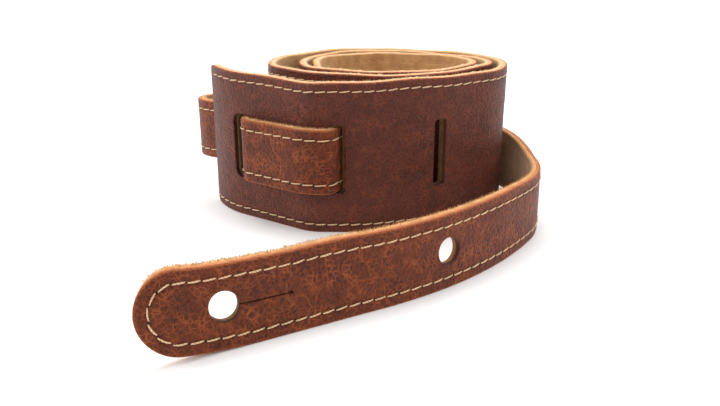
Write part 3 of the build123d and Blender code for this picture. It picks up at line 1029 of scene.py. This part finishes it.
def stitches(place, row, row_length, surface, outward, slant, skip, sunk=0.0):
    """Points, faces and coordinates of every stitch along the row, and where each is."""
    points, faces, coordinates, places = [], [], [], []
    ring = np.linspace(0, 2 * math.pi, SIDES, endpoint=False)
    count = int(row_length / STITCH_PITCH)
    wander = random.Random(5)
    for number in range(count):
        begin = number * STITCH_PITCH
        shares = np.linspace(0, 1, STATIONS)
        at = begin + STITCH_PITCH * STITCH_SHARE * shares
        path, step = on_row(row, at)
        if skip(path[STATIONS // 2]):
            continue
        side = np.stack([-step[:, 1], step[:, 0]], axis=1)
        tilt = slant + wander.uniform(-0.08, 0.08)
        path = path + side * ((shares - 0.5) * 2 * tilt)[:, None]
        plump = np.sin(np.pi * np.clip(shares, 0.04, 0.96)) ** 0.45
        radius = THREAD_RADIUS * (0.55 + 0.45 * plump) * wander.uniform(0.93, 1.07)
        lift = 0.36 * plump - 0.18 - sunk
        first = len(points) * STATIONS * SIDES
        width = np.cos(ring)[None, :] * radius[:, None]
        height = np.sin(ring)[None, :] * radius[:, None] * 0.85 + lift[:, None]
        flat = path[:, None, :] + side[:, None, :] * width[:, :, None]
        flat = flat.reshape(-1, 2)
        placed = place(flat[:, 0], flat[:, 1], surface + outward * height.ravel())
        points.append(placed)
        around = np.tile(np.arange(SIDES) * (2 * math.pi * THREAD_RADIUS / SIDES), STATIONS)
        coordinates.append(np.stack([np.repeat(at, SIDES), around], axis=1))
        for k in range(STATIONS - 1):
            for n in range(SIDES):
                a, b = first + k * SIDES + n, first + k * SIDES + (n + 1) % SIDES
                faces.append((a, b, b + SIDES, a + SIDES))
                places.append(path[STATIONS // 2][0])
        for start in (first, first + (STATIONS - 1) * SIDES):
            cap = tuple(range(start, start + SIDES))
            faces.append(cap if start == first else cap[::-1])
            places.append(path[STATIONS // 2][0])
    return np.concatenate(points), faces, np.concatenate(coordinates), np.array(places)


def thread_piece(name, parts, keep_range):
    """One mesh of all the stitches of the given rows whose middle is in the range."""
    points, faces, coordinates = [], [], []
    first = 0
    low, high = keep_range
    for row_points, row_faces, row_coordinates, places in parts:
        chosen = [f for f, p in zip(row_faces, places) if low <= p < high]
        points.append(row_points)
        coordinates.append(row_coordinates)
        faces += [tuple(v + first for v in f) for f in chosen]
        first += len(row_points)
    points, coordinates = np.concatenate(points), np.concatenate(coordinates)
    marks = np.zeros(len(faces), int)
    return mesh_piece(
        name, points, faces, marks, coordinates, coordinates, coordinates, np.zeros(len(points)), [THREAD]
    )


def row_length_of(row):
    starts, ends = segments_of(row, closed=False)
    return float(np.hypot(*(ends - starts).T).sum())


body_end = BODY_LENGTH - TONGUE_LENGTH


def body_skip(point):
    """True where the wide band has no stitch: at its ends and round the tongue."""
    along, across = point
    row_height = abs(across - BODY_WIDTH / 2)
    on_long_row = abs(row_height - (BODY_WIDTH / 2 - BODY_STITCH_INSET)) < 1
    return not (2.0 < along < body_end - 2 and on_long_row)


def never_skip(point):
    return False


body_length_of_row = row_length_of(body_row())
tail_length_of_row = row_length_of(tail_row())
body_stitches = [
    stitches(place_body, body_row(), body_length_of_row, 0.0, -1, SLANT, body_skip),
    stitches(place_body, body_row(), body_length_of_row, BAND, 1, SLANT, body_skip, SUNK_IN_NAP),
]
body_thread = thread_piece("body_thread", body_stitches, (-1e9, 1e9))
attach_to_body(body_thread, "coil")
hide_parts("body_thread_outer", "body_thread_middle", "body_thread_inner")

tail_stitches = [
    stitches(place_tail, tail_row(), tail_length_of_row, LAYER, 1, -SLANT, never_skip),
    stitches(
        place_tail, tail_row(), tail_length_of_row, -LAYER, -1, -SLANT, never_skip, SUNK_IN_NAP
    ),
]
thread_bounds = [-1e9, *CUTS[:-1], 1e9]
for number, span in enumerate(zip(thread_bounds, thread_bounds[1:])):
    piece = thread_piece("tail_thread_%s" % (number or "woven"), tail_stitches, span)
    attach(piece, number, "thread")
print("stitches laid")

# %% [markdown]
# ## Floor, light and camera
# The strap stands on a plain pale floor in a soft studio light: a big panel overhead and one
# at each side. Far from the strap the floor glows a little, so that it meets the white
# background without a line.

# %% The floor
FLOOR_REACH = 4.0
GLOW_START = 0.28
GLOW_FULL = 0.75
FLOOR_GLOW = 0.6
floor_mesh = bpy.data.meshes.new("floor")
floor_corners = [
    (-FLOOR_REACH, -FLOOR_REACH, 0),
    (FLOOR_REACH, -FLOOR_REACH, 0),
    (FLOOR_REACH, FLOOR_REACH, 0),
    (-FLOOR_REACH, FLOOR_REACH, 0),
]
floor_mesh.from_pydata(floor_corners, [], [(0, 1, 2, 3)])
floor = bpy.data.objects.new("floor", floor_mesh)
bpy.context.scene.collection.objects.link(floor)
floor_recipe = Recipe("pale_floor", 0.7)
floor_recipe.shader.inputs["Base Color"].default_value = (0.93, 0.93, 0.93, 1)
floor_recipe.shader.inputs["Specular IOR Level"].default_value = 0.2
floor_recipe.shader.inputs["Emission Color"].default_value = (1, 1, 1, 1)
floor_place = floor_recipe.node("ShaderNodeTexCoord").outputs["Object"]
from_middle = floor_recipe.node(
    "ShaderNodeVectorMath", {0: floor_place}, operation="LENGTH"
).outputs["Value"]
floor_glow = floor_recipe.ramp(from_middle, GLOW_START, GLOW_FULL, 0.0, FLOOR_GLOW)
floor_recipe.feed(floor_recipe.shader.inputs["Emission Strength"], floor_glow)
floor_mesh.materials.append(floor_recipe.material)

# %% The lights
def soft_panel(name, place, aim, size, power):
    light = bpy.data.lights.new(name, "AREA")
    light.shape = "RECTANGLE"
    light.size, light.size_y = size
    light.energy = power
    holder = bpy.data.objects.new(name, light)
    bpy.context.scene.collection.objects.link(holder)
    holder.location = place
    direction = Vector(aim) - Vector(place)
    holder.rotation_euler = direction.to_track_quat("-Z", "Y").to_euler()
    return holder


soft_panel("overhead_panel", (0.0, 0.30, 0.85), (0, 0, 0.02), (0.9, 0.7), 8.6)
soft_panel("left_panel", (-0.75, -0.10, 0.45), (0, -0.02, 0.03), (0.4, 0.5), 3.0)
soft_panel("right_panel", (0.75, -0.2, 0.5), (0, 0, 0.03), (0.5, 0.5), 2.4)

world = bpy.data.worlds.new("studio")
bpy.context.scene.world = world
world.use_nodes = True
ROOM_LIGHT = 0.58
SEEN_BACKGROUND = 1.05
background = world.node_tree.nodes["Background"]
background.inputs["Color"].default_value = (1, 1, 1, 1)
seen = world.node_tree.nodes.new("ShaderNodeLightPath")
strength = world.node_tree.nodes.new("ShaderNodeMapRange")
strength.inputs["To Min"].default_value = ROOM_LIGHT
strength.inputs["To Max"].default_value = SEEN_BACKGROUND
world.node_tree.links.new(seen.outputs["Is Camera Ray"], strength.inputs["Value"])
world.node_tree.links.new(strength.outputs["Result"], background.inputs["Strength"])
bpy.context.scene.view_settings.view_transform = "Standard"

# %% [markdown]
# ## Camera
# The camera stands a forearm's length away, a little above the strap, and looks down at
# about twenty degrees, with a lens a bit wider than normal.

# %% The camera
CAMERA_PLACE = (0.28 * MM, -293.26 * MM, 126.1 * MM)
CAMERA_PITCH = 20.8
camera_data = bpy.data.cameras.new("camera")
camera_data.sensor_width = 36.0
camera_data.lens = 38.3
camera = bpy.data.objects.new("camera", camera_data)
bpy.context.scene.collection.objects.link(camera)
camera.location = CAMERA_PLACE
camera.rotation_euler = (math.radians(90 - CAMERA_PITCH), 0, 0)
bpy.context.scene.camera = camera
